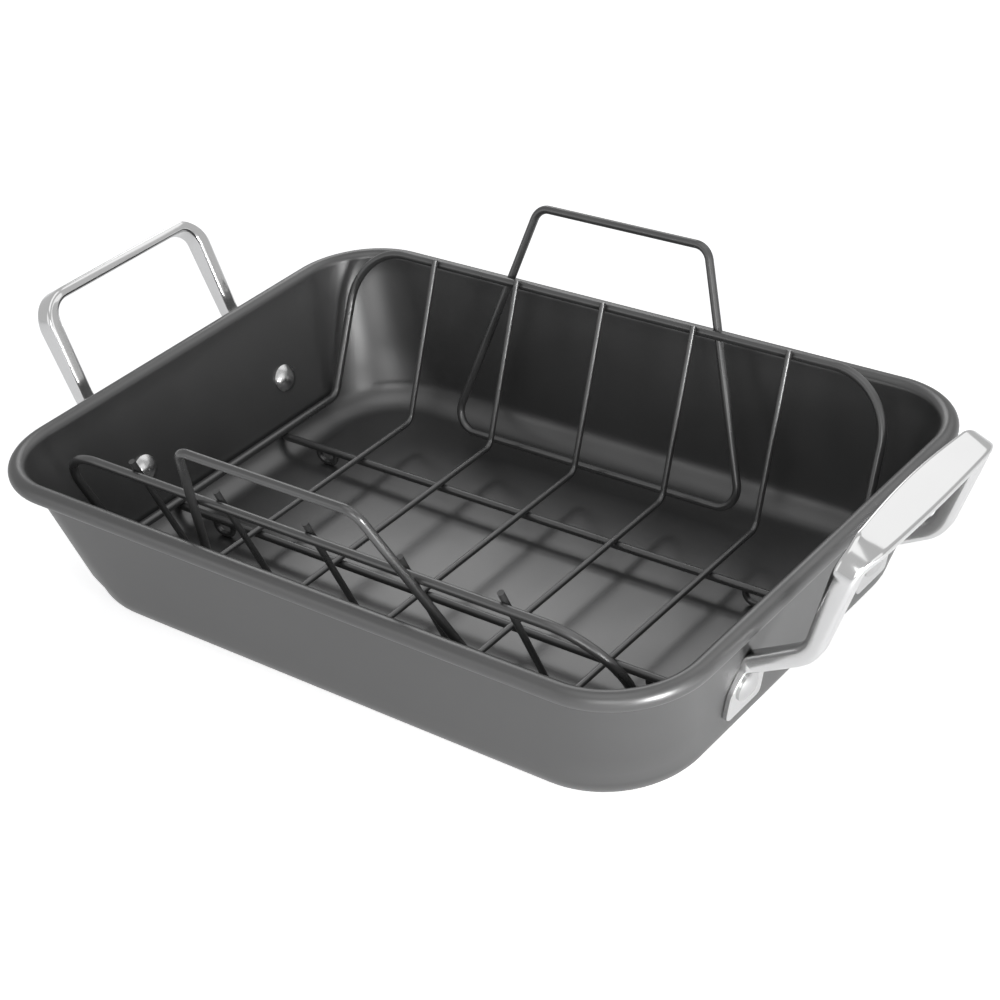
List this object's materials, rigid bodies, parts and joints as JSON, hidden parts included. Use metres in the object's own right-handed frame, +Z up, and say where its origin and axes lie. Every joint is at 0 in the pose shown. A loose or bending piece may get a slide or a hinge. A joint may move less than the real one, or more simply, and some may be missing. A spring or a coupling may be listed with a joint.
{
  "type": "roasting pan with rack",
  "caption": "Dark non-stick roasting pan with upright steel handles and a lift-out black wire rack with two tall lifting loops.",
  "frame": {"origin": "middle of the pan's base, on the surface that the pan stands on", "axes": "+X along the pan towards the right handle, -Y towards the near long side, +Z up"},
  "size_m": [0.4936, 0.289, 0.1315],
  "materials": {
    "pan_coating": "satin dark grey non-stick coating on steel",
    "handle_steel": "polished stainless steel",
    "rivet_steel": "polished stainless steel",
    "rack_wire": "satin black non-stick coating on steel wire"
  },
  "bodies": {
    "pan": {"pan_body": "pan_coating", "handle_left": "handle_steel", "handle_right": "handle_steel", "rivet_left_front": "rivet_steel", "rivet_left_rear": "rivet_steel", "rivet_right_front": "rivet_steel", "rivet_right_rear": "rivet_steel"},
    "rack": {"rack_frame": "rack_wire", "cross_wire_1": "rack_wire", "cross_wire_2": "rack_wire", "cross_wire_3": "rack_wire", "cross_wire_4": "rack_wire", "cross_wire_5": "rack_wire", "rack_rail_front": "rack_wire", "rack_rail_rear": "rack_wire", "rack_handle_front": "rack_wire", "rack_handle_rear": "rack_wire", "rack_foot_1": "rack_wire", "rack_foot_2": "rack_wire", "rack_foot_3": "rack_wire", "rack_foot_4": "rack_wire"}
  },
  "joints": [
    {"name": "rack_lift", "type": "slide", "parent": "pan", "child": "rack", "axis": [0, 0, 1], "range_m": [0, 0.09]}
  ]
}
